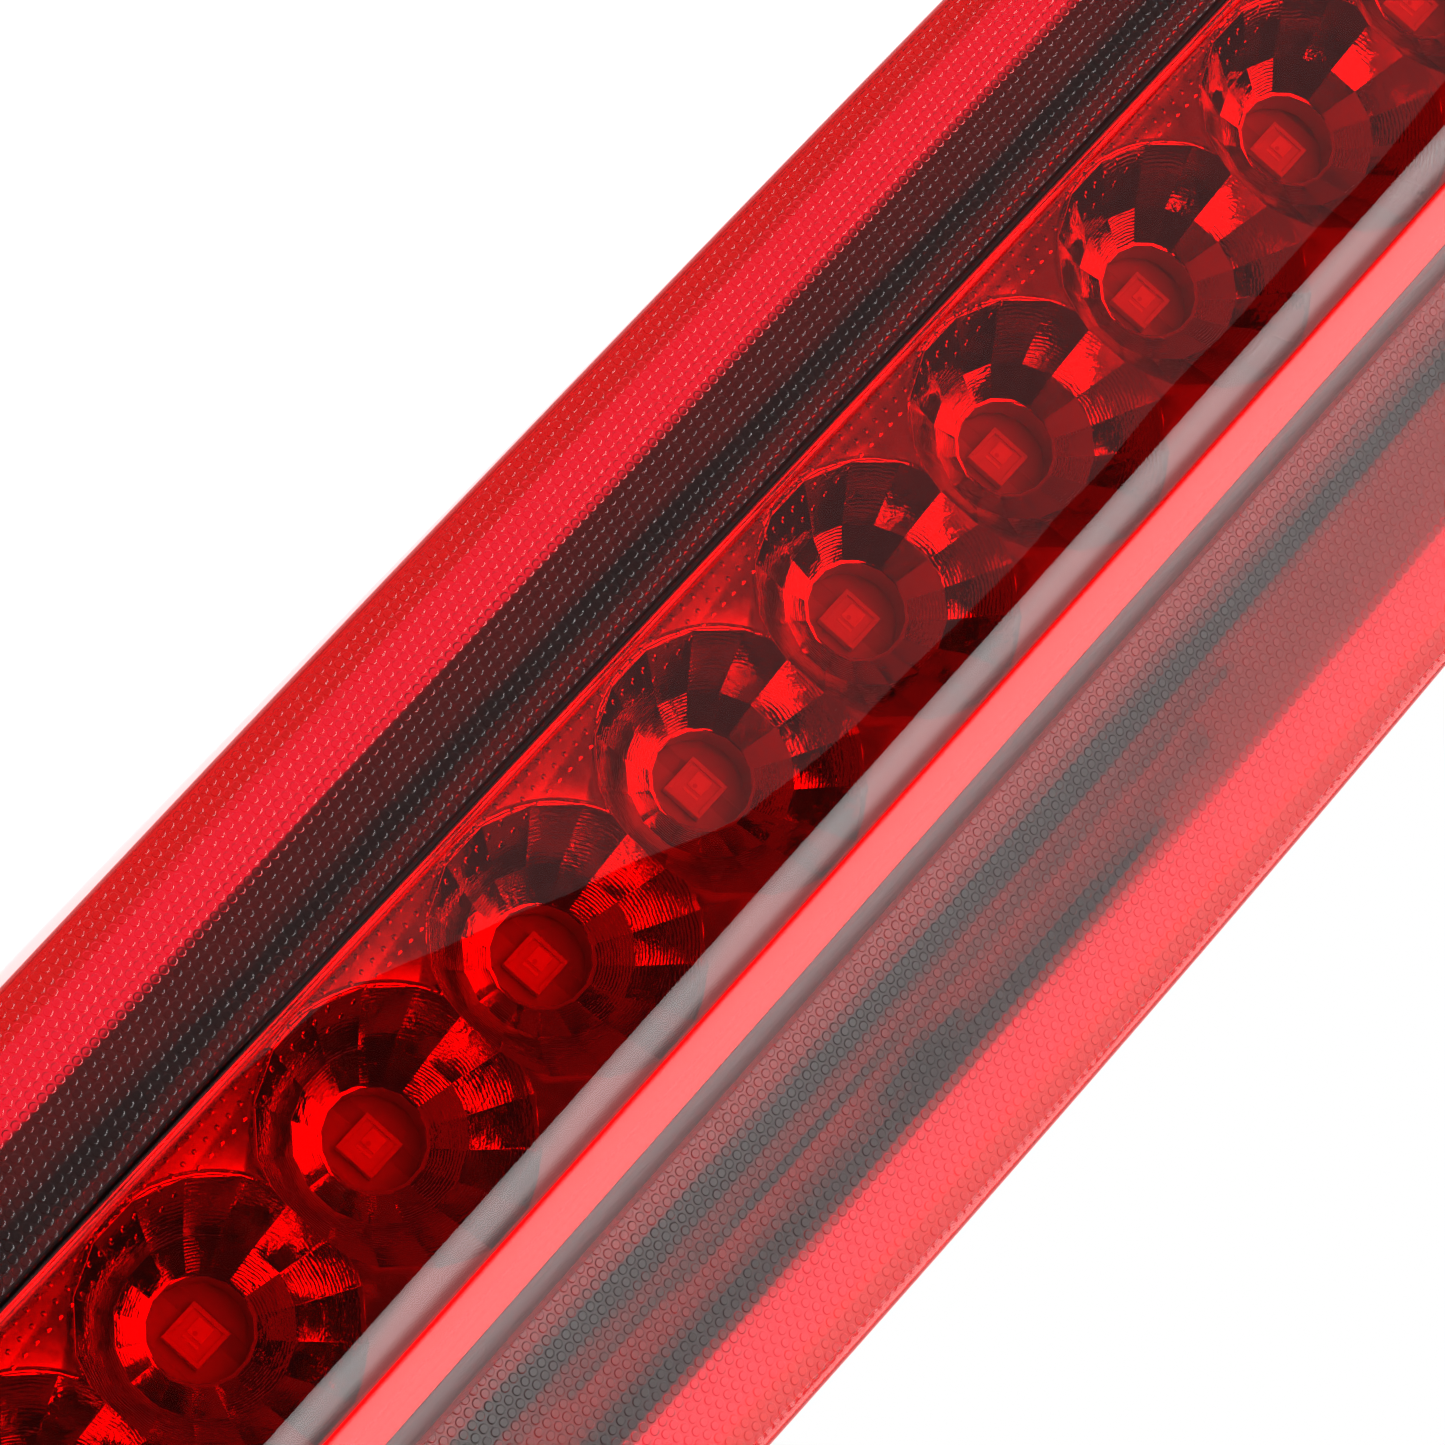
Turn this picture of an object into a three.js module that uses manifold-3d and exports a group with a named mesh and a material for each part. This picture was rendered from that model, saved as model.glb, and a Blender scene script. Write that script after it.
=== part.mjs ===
// High-mount LED brake lamp, in millimetres.
// X runs along the lamp, the lens faces -Y and +Z is up as the lamp is mounted.
// The origin is the middle of the centre mounting pad, so Y = 0 is the plane the lamp seats on.
import * as THREE from 'three';
import { mergeVertices } from 'three/addons/utils/BufferGeometryUtils.js';
import Module from 'manifold-3d';

const wasm = await Module();
wasm.setup();

// ---- driving dimensions ----
const GAP = 0.3;                    // clearance between neighbouring pieces

const LED_COUNT = 16;
const LED_PITCH = 15;
const LED_SIZE = 2.8;
const LED_HEIGHT = 0.65;

const RIM_Y = -20;                  // plane of the cup rims
const CUP_SIDES = 16;
const CUP_PROFILE = [[8.2, 0], [5.2, 3.9], [3.3, 5.4], [3.1, 5.45]];  // [radius, depth below the rim]
const CUP_SHELL = [[8.9, 0.7], [6.0, 4.1], [4.1, 5.6]];               // outside of the cup wall
const COLLAR_DEPTH = 7.5;           // end of the tube round each LED
const HOLE_DROP = 0.6;              // the LED sits this far below the middle of its cup rim

const LENS_HALF_LENGTH = 146;
const LENS_TOP = 29;              // edge height at the middle of the lamp
const LENS_BOTTOM = -22.3;
const TOP_BOW = 0.00023;            // how fast the long edges draw in, per mm of X squared
const BOTTOM_BOW = 0.00012;
const LENS_CORNER = 10;             // corner radius seen from the front
const LENS_WALL = 2.4;
const SKIRT_WALL = 2.3;
const SKIRT_BACK_Y = -9;
const END_ROUND = 9;                // rounding of the lens front towards its ends

const WINDOW_HALF_LENGTH = 125;
const WINDOW_BOTTOM = -8.85;
const WINDOW_FRONT = 4.6;           // heights are measured forwards from the rim plane
const RIDGE_START = 6.2;
const RIDGE_TOP = [8.9, 3.95];      // [z, height]
const RIDGE_FOOT = [11.7, 2.42];
const BASE_HEIGHT = 3.9;            // height of the lens under the window
const BASE_END = 8.3;               // Z where that level part ends
const BASE_REAR = 2.2;              // height down to which the window block is sunk into it
// Each flange is one quadratic curve of [z, height] points, from its outer end inwards.
const UPPER_FLANGE = [[40, -8.6], [24, -1.1], [12.9, 2.1]];
const LOWER_FLANGE = [[-34, -0.8], [-18, 2.9], [-9.6, 3.9]];

const HOUSING_INSET = 6.1;          // the lens overhangs the housing by this much all round
const HOUSING_WALL = 2.2;
const HOUSING_REAR_Y = -2;
const TRAY_BOTTOM = -9.9;           // inside of the deep middle tray
const TRAY_TOP = 12.4;
const TRAY_HALF_LENGTH = 131;
const FLANGE_GAP = 0.6;             // bond line between the lens and the housing flange
const TRAY_FRONT_DROP = 1.8;        // the tray's walls end this far behind the rim plane
const RIB_PLACES = [-105, -60, -15, 30, 75, 112];
const RIB_HALF_WIDTH = 0.8;
const RIB_TOP = -6;
const PILOT_RADIUS = 1.65;
const SCREW_POST_HALF = 3.2;
const SCREW_X = 126.6;
const SCREW_Z = 5.5;
const VENT_X = 50;
const VENT_RADIUS = 2;
const VENT_HEAD_RADIUS = 4.2;

const BEZEL_BOTTOM = -9.1;
const BEZEL_TOP = 8.35;
const BEZEL_HALF_LENGTH = 121.8;
const BEZEL_WALL = 1.3;
const LIP_FOOT = [11.4, -1.68];     // [z, height]
const TAB_FRONT_Y = -17;
const TAB_BACK_Y = -15.6;
const TAB_RISER = 1.4;

const BOARD_FRONT_Y = -12.2;
const BOARD_THICKNESS = 1.6;
const BOARD_LENGTH = 246;
const BOARD_HEIGHT = 18.4;

const STUD_X = 95;
const STUD_RADIUS = 2.5;
const STUD_END_Y = 16;
const PAD_SIZE = 18;
const STUD_HEAD_RADIUS = 5;
const STUD_HEAD_Y = [-6.6, -4.5];
const NUT_START_Y = 5;
const NUT_HEX_RADIUS = 4.62;
const NUT_FLANGE_RADIUS = 5.9;
const NUT_HEIGHT = 5.2;
const THREAD_CLEARANCE = 0.15;

const SOCKET_X = -45;
const SOCKET_SIZE = [19, 15, 12];   // along X, along Y, along Z
const SOCKET_WALL = 1.5;
const SOCKET_FLANGE = [3, 1.8, 1.6]; // beyond the socket along X, thickness, beyond it along Z
const TERMINAL_OFFSET = 2.6;
const TERMINAL_HALF = [0.4, 1];     // along X, along Z
const TERMINAL_END_Y = 8;
const SLOT_CLEARANCE = 0.3;

const BEAD_LOWER = [-12.9, -11.2];
const BEAD_UPPER = [14.4, 16.7];
const BEAD_OUTER = [19.3, 20.7];
const BEAD_HALF_LENGTH = 127;
const BEAD_OUTER_RUN = [14, 95];    // along X
const BEAD_DEPTH = 1.2;

// ---- solids ----
// A closed three.js geometry as a solid that can be joined and cut.
function solid(geometry) {
  const bare = geometry.index ? geometry.toNonIndexed() : geometry.clone();
  bare.deleteAttribute('normal');
  bare.deleteAttribute('uv');
  const merged = mergeVertices(bare, 1e-4);
  const corners = merged.index.array;
  const kept = [];
  for (let i = 0; i < corners.length; i += 3) {
    const [a, b, c] = [corners[i], corners[i + 1], corners[i + 2]];
    if (a !== b && b !== c && c !== a) kept.push(a, b, c);
  }
  return new wasm.Manifold(new wasm.Mesh({
    numProp: 3,
    vertProperties: new Float32Array(merged.attributes.position.array),
    triVerts: new Uint32Array(kept),
  }));
}

// The finished solid as a geometry with one flat normal per triangle.
function geometryOf(manifold) {
  const mesh = manifold.getMesh();
  const geometry = new THREE.BufferGeometry();
  geometry.setAttribute('position', new THREE.BufferAttribute(new Float32Array(mesh.vertProperties), 3));
  geometry.setIndex(new THREE.BufferAttribute(new Uint32Array(mesh.triVerts), 1));
  const flat = geometry.toNonIndexed();
  flat.computeVertexNormals();
  return flat;
}

function unionOf(pieces) {
  return pieces.reduce((sum, piece) => sum.add(piece));
}

// A section drawn in Y and Z, run along X.
function runAlongX(shape, x0, x1, curveSegments = 6) {
  const geometry = new THREE.ExtrudeGeometry(shape, { depth: x1 - x0, bevelEnabled: false, curveSegments });
  const turn = new THREE.Matrix4().set(0, 0, 1, x0, 1, 0, 0, 0, 0, 1, 0, 0, 0, 0, 0, 1);
  return geometry.applyMatrix4(turn);
}

// An outline drawn in X and Z, run along Y.
function runAlongY(shape, y0, y1, curveSegments = 6) {
  const geometry = new THREE.ExtrudeGeometry(shape, { depth: y1 - y0, bevelEnabled: false, curveSegments });
  geometry.rotateX(Math.PI / 2);
  return geometry.translate(0, y1, 0);
}

function box(x0, x1, y0, y1, z0, z1) {
  const geometry = new THREE.BoxGeometry(x1 - x0, y1 - y0, z1 - z0);
  return geometry.translate((x0 + x1) / 2, (y0 + y1) / 2, (z0 + z1) / 2);
}

// A turned piece whose profile is [radius, y] points from one end of the axis to the other.
function turned(profile, x, z, segments = 16) {
  const points = profile.map(([radius, y]) => new THREE.Vector2(radius, y));
  return new THREE.LatheGeometry(points, segments).translate(x, 0, z);
}

// A round bar along Y.
function rod(radius, y0, y1, x, z, segments = 16) {
  return turned([[0, y0], [radius, y0], [radius, y1], [0, y1]], x, z, segments);
}

// The opening that a terminal passes through, with `clearance` all round.
function terminalSlot(side, clearance, y0, y1) {
  const x = SOCKET_X + side * TERMINAL_OFFSET;
  const [halfX, halfZ] = TERMINAL_HALF.map((half) => half + clearance);
  return box(x - halfX, x + halfX, y0, y1, -halfZ, halfZ);
}

// ---- the lens outline seen from the front, drawn in by `inset` all round ----
function lensOutline(inset) {
  const half = LENS_HALF_LENGTH - inset;
  const corner = Math.max(LENS_CORNER - inset, 2);
  const shoulder = half - corner;
  const top = LENS_TOP - inset;
  const bottom = LENS_BOTTOM + inset;
  const rise = BOTTOM_BOW * shoulder * shoulder;
  const drop = TOP_BOW * shoulder * shoulder;
  const shape = new THREE.Shape();
  shape.moveTo(-shoulder, bottom + rise);
  shape.quadraticCurveTo(0, bottom - rise, shoulder, bottom + rise);
  shape.absarc(shoulder, bottom + rise + corner, corner, -Math.PI / 2, 0);
  shape.absarc(shoulder, top - drop - corner, corner, 0, Math.PI / 2);
  shape.quadraticCurveTo(0, top + drop, -shoulder, top - drop);
  shape.absarc(-shoulder, top - drop - corner, corner, Math.PI / 2, Math.PI);
  shape.absarc(-shoulder, bottom + rise + corner, corner, Math.PI, 1.5 * Math.PI);
  shape.closePath();
  return shape;
}

// ---- the lens section, as heights in front of the rim plane, set back by `back` ----
function lensSection(back, rearY) {
  const y = (height) => RIM_Y - height + back;
  const [upperEnd, upperPull, upperStart] = UPPER_FLANGE;
  const [lowerEnd, lowerPull, lowerStart] = LOWER_FLANGE;
  const shape = new THREE.Shape();
  shape.moveTo(rearY, lowerEnd[0]);
  shape.lineTo(rearY, upperEnd[0]);
  shape.lineTo(y(upperEnd[1]), upperEnd[0]);
  shape.quadraticCurveTo(y(upperPull[1]), upperPull[0], y(upperStart[1]), upperStart[0]);
  shape.lineTo(y(BASE_HEIGHT), BASE_END);
  shape.lineTo(y(lowerStart[1]), lowerStart[0]);
  shape.quadraticCurveTo(y(lowerPull[1]), lowerPull[0], y(lowerEnd[1]), lowerEnd[0]);
  shape.closePath();
  return shape;
}

// The raised clear window with its rounded ridge and sloping upper side.
function windowSection() {
  const y = (height) => RIM_Y - height;
  const shape = new THREE.Shape();
  shape.moveTo(y(BASE_REAR), WINDOW_BOTTOM);
  shape.lineTo(y(BASE_REAR), RIDGE_FOOT[0]);
  shape.lineTo(y(RIDGE_FOOT[1]), RIDGE_FOOT[0]);
  shape.lineTo(y(RIDGE_TOP[1]), RIDGE_TOP[0]);
  const pull = (RIDGE_START + RIDGE_TOP[0]) / 2 + 0.1;
  shape.quadraticCurveTo(y(WINDOW_FRONT), pull, y(WINDOW_FRONT), RIDGE_START);
  shape.lineTo(y(WINDOW_FRONT), WINDOW_BOTTOM);
  shape.closePath();
  return shape;
}

// Seen from above, the lens front rounds off towards both ends.
function lensPlan(inset) {
  const half = LENS_HALF_LENGTH - inset;
  const front = RIM_Y - WINDOW_FRONT - 1 + inset;
  const shape = new THREE.Shape();
  shape.moveTo(-half, 0);
  shape.lineTo(-half, front + END_ROUND);
  shape.quadraticCurveTo(-half, front + 1.6, -half + 2.2 * END_ROUND, front);
  shape.lineTo(half - 2.2 * END_ROUND, front);
  shape.quadraticCurveTo(half, front + 1.6, half, front + END_ROUND);
  shape.lineTo(half, 0);
  shape.closePath();
  return shape;
}

function planPrism(inset) {
  const settings = { depth: 90, bevelEnabled: false, curveSegments: 8 };
  const prism = new THREE.ExtrudeGeometry(lensPlan(inset), settings);
  return solid(prism.translate(0, 0, -45));
}

function lensGeometry() {
  const length = LENS_HALF_LENGTH + 5;
  const outside = solid(runAlongX(lensSection(0, 0), -length, length))
    .add(solid(runAlongX(windowSection(), -WINDOW_HALF_LENGTH, WINDOW_HALF_LENGTH)))
    .intersect(solid(runAlongY(lensOutline(0), -40, SKIRT_BACK_Y, 10)))
    .intersect(planPrism(0));
  const inside = solid(runAlongX(lensSection(LENS_WALL, 5), -length, length))
    .intersect(solid(runAlongY(lensOutline(SKIRT_WALL), -40, SKIRT_BACK_Y + 4, 10)))
    .intersect(planPrism(LENS_WALL));
  return geometryOf(outside.subtract(inside));
}

// ---- housing: a deep middle tray with a flange that follows the inside of the lens ----
function housingGeometry() {
  const length = LENS_HALF_LENGTH;
  const flangeBack = LENS_WALL + FLANGE_GAP;
  const plate = solid(runAlongX(lensSection(flangeBack, 0), -length, length))
    .subtract(solid(runAlongX(lensSection(flangeBack + HOUSING_WALL, 5), -length, length)))
    .intersect(solid(runAlongY(lensOutline(HOUSING_INSET), -40, 1, 10)))
    .intersect(planPrism(flangeBack));
  const outerX = TRAY_HALF_LENGTH + HOUSING_WALL;
  const outerZ = [TRAY_BOTTOM - HOUSING_WALL, TRAY_TOP + HOUSING_WALL];
  const tray = solid(box(-outerX, outerX, RIM_Y + TRAY_FRONT_DROP, HOUSING_REAR_Y, outerZ[0], outerZ[1]));
  const hollow = solid(box(-TRAY_HALF_LENGTH, TRAY_HALF_LENGTH, -40, HOUSING_REAR_Y - HOUSING_WALL,
    TRAY_BOTTOM, TRAY_TOP));
  const pads = [-STUD_X, 0, STUD_X].map((x) => solid(
    box(x - PAD_SIZE / 2, x + PAD_SIZE / 2, HOUSING_REAR_Y - 1, 0, -PAD_SIZE / 2, PAD_SIZE / 2)));
  const posts = screwPlaces().map(([x, z]) => solid(
    box(x - SCREW_POST_HALF, x + SCREW_POST_HALF, TAB_BACK_Y + GAP, HOUSING_REAR_Y - 1,
      z - SCREW_POST_HALF, z + SCREW_POST_HALF)));
  const ribs = RIB_PLACES.map((x) => solid(
    box(x - RIB_HALF_WIDTH, x + RIB_HALF_WIDTH, BOARD_FRONT_Y + BOARD_THICKNESS + GAP, HOUSING_REAR_Y - 1,
      TRAY_BOTTOM - 1, RIB_TOP)));
  const studHoles = [-STUD_X, STUD_X].map((x) => solid(
    rod(STUD_RADIUS + GAP, -8, 3, x, 0)));
  const pilotHoles = screwPlaces().map(([x, z]) => solid(rod(PILOT_RADIUS, -18, -6, x, z, 12)));
  const terminalSlots = [-1, 1].map((side) => solid(terminalSlot(side, 0.5, -8, 3)));
  const ventHole = solid(rod(VENT_RADIUS + GAP, -8, 3, VENT_X, 0));
  const beadGrooves = beads().map(({ z, x }) => solid(
    runAlongX(beadSection(z, -0.2, BEAD_DEPTH + 0.1, 0.1), x[0] - 0.1, x[1] + 0.1)));
  const body = unionOf([plate, tray]).subtract(hollow);
  const filled = unionOf([body, ...pads, ...posts, ...ribs]);
  return geometryOf([...studHoles, ...pilotHoles, ...terminalSlots, ventHole, ...beadGrooves]
    .reduce((whole, cut) => whole.subtract(cut), filled));
}

// ---- sealant beads, each in a groove of the housing flange ----
function beads() {
  return [
    { name: 'sealant_bead_lower', z: BEAD_LOWER, x: [-BEAD_HALF_LENGTH, BEAD_HALF_LENGTH] },
    { name: 'sealant_bead_upper', z: BEAD_UPPER, x: [-BEAD_HALF_LENGTH, BEAD_HALF_LENGTH] },
    { name: 'sealant_run_outer', z: BEAD_OUTER, x: BEAD_OUTER_RUN },
  ];
}

// Y of the housing flange's face at z, found by halving along the flange curve.
function flangeFace(z) {
  const [end, pull, start] = z > 0 ? UPPER_FLANGE : LOWER_FLANGE;
  const along = (t, i) => (1 - t) ** 2 * end[i] + 2 * t * (1 - t) * pull[i] + t * t * start[i];
  let low = 0;
  let high = 1;
  for (let step = 0; step < 30; step += 1) {
    const mid = (low + high) / 2;
    if (Math.abs(along(mid, 0)) > Math.abs(z)) low = mid;
    else high = mid;
  }
  return RIM_Y - along(low, 1) + LENS_WALL + FLANGE_GAP;
}

function beadSection(z, above, depth, spread) {
  const [z0, z1] = z;
  const shape = new THREE.Shape();
  shape.moveTo(flangeFace(z0) + above, z0 - spread);
  shape.lineTo(flangeFace(z0) + depth, z0 - spread);
  shape.lineTo(flangeFace(z1) + depth, z1 + spread);
  shape.lineTo(flangeFace(z1) + above, z1 + spread);
  shape.closePath();
  return shape;
}

// ---- reflector: bezel, faceted cups and two screw tabs ----
function screwPlaces() {
  return [-SCREW_X, SCREW_X].flatMap((x) => [[x, -SCREW_Z], [x, SCREW_Z]]);
}

function ledX(index) {
  return (index - (LED_COUNT - 1) / 2) * LED_PITCH;
}

// A faceted ring stack; its lower rings slide down with the LED.
function cupStack(profile, sides, x) {
  const points = profile.map(([radius, depth]) => new THREE.Vector2(radius, RIM_Y + depth));
  const start = Math.PI / sides;
  const geometry = new THREE.LatheGeometry(points, sides, start);
  const deepest = CUP_PROFILE[CUP_PROFILE.length - 1][1];
  const position = geometry.attributes.position;
  for (let i = 0; i < position.count; i += 1) {
    const depth = THREE.MathUtils.clamp(position.getY(i) - RIM_Y, 0, deepest);
    position.setX(i, position.getX(i) + x);
    position.setZ(i, position.getZ(i) - HOLE_DROP * depth / deepest);
  }
  return solid(geometry);
}

function bezelSection() {
  const shape = new THREE.Shape();
  shape.moveTo(RIM_Y, BEZEL_BOTTOM);
  shape.lineTo(RIM_Y + BEZEL_WALL + 1, BEZEL_BOTTOM - 0.4);
  shape.lineTo(RIM_Y + BEZEL_WALL, BEZEL_TOP - 1);
  shape.lineTo(RIM_Y - LIP_FOOT[1] + BEZEL_WALL, LIP_FOOT[0] - 0.6);
  shape.lineTo(RIM_Y - LIP_FOOT[1], LIP_FOOT[0]);
  shape.lineTo(RIM_Y, BEZEL_TOP);
  shape.closePath();
  return shape;
}

function reflectorGeometry() {
  const bezel = solid(runAlongX(bezelSection(), -BEZEL_HALF_LENGTH, BEZEL_HALF_LENGTH));
  const tabs = [-1, 1].map((side) => {
    const between = (near, far) => [near * side, far * side].sort((a, b) => a - b);
    const x = between(BEZEL_HALF_LENGTH - TAB_RISER, TRAY_HALF_LENGTH - GAP);
    const riser = between(BEZEL_HALF_LENGTH - TAB_RISER, BEZEL_HALF_LENGTH);
    return unionOf([
      solid(box(x[0], x[1], TAB_FRONT_Y, TAB_BACK_Y, BEZEL_BOTTOM, BEZEL_TOP)),
      solid(box(riser[0], riser[1], RIM_Y + 0.2, TAB_BACK_Y, BEZEL_BOTTOM, BEZEL_TOP)),
    ]);
  });
  const shells = [];
  const cavities = [];
  for (let index = 0; index < LED_COUNT; index += 1) {
    const x = ledX(index);
    const [rim, waist, foot] = CUP_SHELL;
    shells.push(cupStack([[0, rim[1]], rim, waist, foot, [foot[0], COLLAR_DEPTH], [0, COLLAR_DEPTH]], 12, x));
    const [mouth, , , collar] = CUP_PROFILE;
    const top = [mouth[0] + 0.001, -2];
    cavities.push(cupStack(
      [[0, -2], top, ...CUP_PROFILE, [collar[0], COLLAR_DEPTH + 1], [0, COLLAR_DEPTH + 1]], CUP_SIDES, x));
  }
  const screwHoles = screwPlaces().map(([x, z]) => solid(rod(PILOT_RADIUS + 0.15, -18, -15, x, z, 12)));
  const body = unionOf([bezel, ...tabs, ...shells]);
  const rearLimit = solid(box(-LENS_HALF_LENGTH, LENS_HALF_LENGTH, RIM_Y - 1, RIM_Y + COLLAR_DEPTH,
    BEZEL_BOTTOM - 0.4, LIP_FOOT[0]));
  return geometryOf([...cavities, ...screwHoles].reduce((whole, cut) => whole.subtract(cut),
    body.intersect(rearLimit)));
}

// ---- circuit board with holes for the two terminals ----
function boardGeometry() {
  const back = BOARD_FRONT_Y + BOARD_THICKNESS;
  const plate = solid(box(-BOARD_LENGTH / 2, BOARD_LENGTH / 2, BOARD_FRONT_Y, back,
    -BOARD_HEIGHT / 2, BOARD_HEIGHT / 2));
  const holes = [-1, 1].map((side) => solid(terminalSlot(side, SLOT_CLEARANCE, BOARD_FRONT_Y - 1, back + 1)));
  return geometryOf(holes.reduce((whole, cut) => whole.subtract(cut), plate));
}

// ---- electrical inlet: an open rectangular socket with a latch ledge ----
function socketGeometry() {
  const [sx, sy, sz] = SOCKET_SIZE;
  const [beyondX, thickness, beyondZ] = SOCKET_FLANGE;
  const rear = HOUSING_REAR_Y + GAP;
  const outer = solid(box(SOCKET_X - sx / 2, SOCKET_X + sx / 2, rear, rear + sy, -sz / 2, sz / 2));
  const flange = solid(box(SOCKET_X - sx / 2 - beyondX, SOCKET_X + sx / 2 + beyondX, rear, rear + thickness,
    -sz / 2 - beyondZ, sz / 2 + beyondZ));
  const ledge = solid(box(SOCKET_X - 2.6, SOCKET_X + 2.6, rear + 9, rear + 11.4, sz / 2 - 0.5, sz / 2 + 1.4));
  const [halfX, halfZ] = [sx / 2 - SOCKET_WALL, sz / 2 - SOCKET_WALL];
  const cavity = solid(box(SOCKET_X - halfX, SOCKET_X + halfX, rear + 2.4, rear + sy + 1, -halfZ, halfZ));
  const slots = [-1, 1].map((side) => solid(terminalSlot(side, SLOT_CLEARANCE, rear - 1, rear + 3)));
  return geometryOf(slots.reduce((whole, cut) => whole.subtract(cut),
    unionOf([outer, flange, ledge]).subtract(cavity)));
}

// ---- flat rings: the foam gasket and the socket seal ----
function ringGeometry(outer, hole, y0, y1, curveSegments) {
  outer.holes.push(hole);
  return runAlongY(outer, y0, y1, curveSegments);
}

function roundedOutline(x0, x1, z0, z1, radius) {
  const shape = new THREE.Shape();
  shape.moveTo(x0 + radius, z0);
  shape.absarc(x1 - radius, z0 + radius, radius, -Math.PI / 2, 0);
  shape.absarc(x1 - radius, z1 - radius, radius, 0, Math.PI / 2);
  shape.absarc(x0 + radius, z1 - radius, radius, Math.PI / 2, Math.PI);
  shape.absarc(x0 + radius, z0 + radius, radius, Math.PI, 1.5 * Math.PI);
  shape.closePath();
  return shape;
}

// ---- fasteners ----
function studGeometry(x) {
  const r = STUD_RADIUS;
  const [headFront, headBack] = STUD_HEAD_Y;
  return turned([[0, headFront], [STUD_HEAD_RADIUS, headFront], [STUD_HEAD_RADIUS, headBack], [r, headBack],
    [r, STUD_END_Y - 1], [r - 0.8, STUD_END_Y], [0, STUD_END_Y]], x, 0);
}

function nutGeometry(x) {
  const hex = new THREE.Shape();
  for (let corner = 0; corner < 6; corner += 1) {
    const angle = corner * Math.PI / 3;
    const point = [x + NUT_HEX_RADIUS * Math.cos(angle), NUT_HEX_RADIUS * Math.sin(angle)];
    if (corner === 0) hex.moveTo(...point);
    else hex.lineTo(...point);
  }
  hex.closePath();
  const body = solid(runAlongY(hex, NUT_START_Y + 1, NUT_START_Y + NUT_HEIGHT));
  const flange = solid(turned([[0, NUT_START_Y], [NUT_FLANGE_RADIUS, NUT_START_Y],
    [NUT_FLANGE_RADIUS, NUT_START_Y + 0.8], [4.6, NUT_START_Y + 1.6], [0, NUT_START_Y + 1.6]], x, 0, 20));
  const hole = solid(rod(STUD_RADIUS + THREAD_CLEARANCE, 0, 14, x, 0));
  return geometryOf(body.add(flange).subtract(hole));
}

function screwGeometry(x, z) {
  const head = TAB_FRONT_Y - 0.1;
  return turned([[0, head - 1.6], [1.6, head - 1.6], [2.6, head - 0.9], [2.6, head], [1.35, head],
    [1.35, head + 9], [0.4, head + 10.2], [0, head + 10.2]], x, z, 12);
}

// ---- materials ----
function plastic(color, roughness) {
  return new THREE.MeshStandardMaterial({ color, roughness, metalness: 0 });
}

function metal(color, roughness) {
  return new THREE.MeshStandardMaterial({ color, roughness, metalness: 1 });
}

const redAcrylic = new THREE.MeshStandardMaterial({
  color: 0xc8081e, roughness: 0.05, metalness: 0, transparent: true, opacity: 0.45,
});
const blackAbs = plastic(0x16161a, 0.5);
const metallised = metal(0xd9d9dc, 0.12);
const boardMask = plastic(0xe6e4dc, 0.45);
const ledBody = plastic(0xf1ead6, 0.4);
const blackComponent = plastic(0x202024, 0.4);
const tinned = metal(0xc9c6bf, 0.3);
const zincSteel = metal(0xb9bcc0, 0.35);
const foam = plastic(0x2b2b2d, 0.95);
const sealant = plastic(0x0d0d0f, 0.6);
const silicone = plastic(0xb0522f, 0.6);

// ---- assembly ----
const lamp = new THREE.Group();

function place(name, geometry, material) {
  const mesh = new THREE.Mesh(geometry, material.clone());
  mesh.name = name;
  lamp.add(mesh);
}

place('lens', lensGeometry(), redAcrylic);
place('housing', housingGeometry(), blackAbs);
place('reflector', reflectorGeometry(), metallised);
place('circuit_board', boardGeometry(), boardMask);

for (let index = 0; index < LED_COUNT; index += 1) {
  const x = ledX(index);
  const half = LED_SIZE / 2;
  const back = BOARD_FRONT_Y - 0.1;
  place(`led_${String(index + 1).padStart(2, '0')}`,
    box(x - half, x + half, back - LED_HEIGHT, back, -HOLE_DROP - half, -HOLE_DROP + half), ledBody);
}

const componentFront = BOARD_FRONT_Y + BOARD_THICKNESS + 0.1;
function component(name, x, z, size) {
  place(name, box(x - size[0] / 2, x + size[0] / 2, componentFront, componentFront + size[1],
    z - size[2] / 2, z + size[2] / 2), blackComponent);
}

[-90, -30, 15, 90].forEach((x, index) => component(`resistor_${index + 1}`, x, 3, [6.3, 0.7, 3.2]));
component('protection_diode', -64, 3, [4.6, 2.2, 2.7]);
component('regulator', 46, 2, [6.5, 2.3, 6.1]);
place('capacitor', rod(3.1, componentFront, componentFront + 5.4, -12, 3), tinned);

beads().forEach(({ name, z, x }) => {
  place(name, runAlongX(beadSection(z, 0.1, BEAD_DEPTH - 0.2, -0.2), x[0] + 0.2, x[1] - 0.2), sealant);
});

place('connector_socket', socketGeometry(), blackAbs);
[['terminal_left', -1], ['terminal_right', 1]].forEach(([name, side]) => {
  place(name, terminalSlot(side, 0, BOARD_FRONT_Y - 0.4, TERMINAL_END_Y), tinned);
});
place('connector_seal', ringGeometry(
  roundedOutline(SOCKET_X - 16, SOCKET_X + 16, -9.6, 9.6, 5),
  roundedOutline(SOCKET_X - 12.9, SOCKET_X + 12.9, -7.9, 7.9, 0.8),
  HOUSING_REAR_Y + 0.1, HOUSING_REAR_Y + 2.6, 4), silicone);
place('rear_gasket', ringGeometry(
  roundedOutline(-132, 132, -12.4, 15, 6),
  roundedOutline(-127, 127, -10.2, 12.8, 4),
  HOUSING_REAR_Y + 0.1, 0.9, 5), foam);

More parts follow.
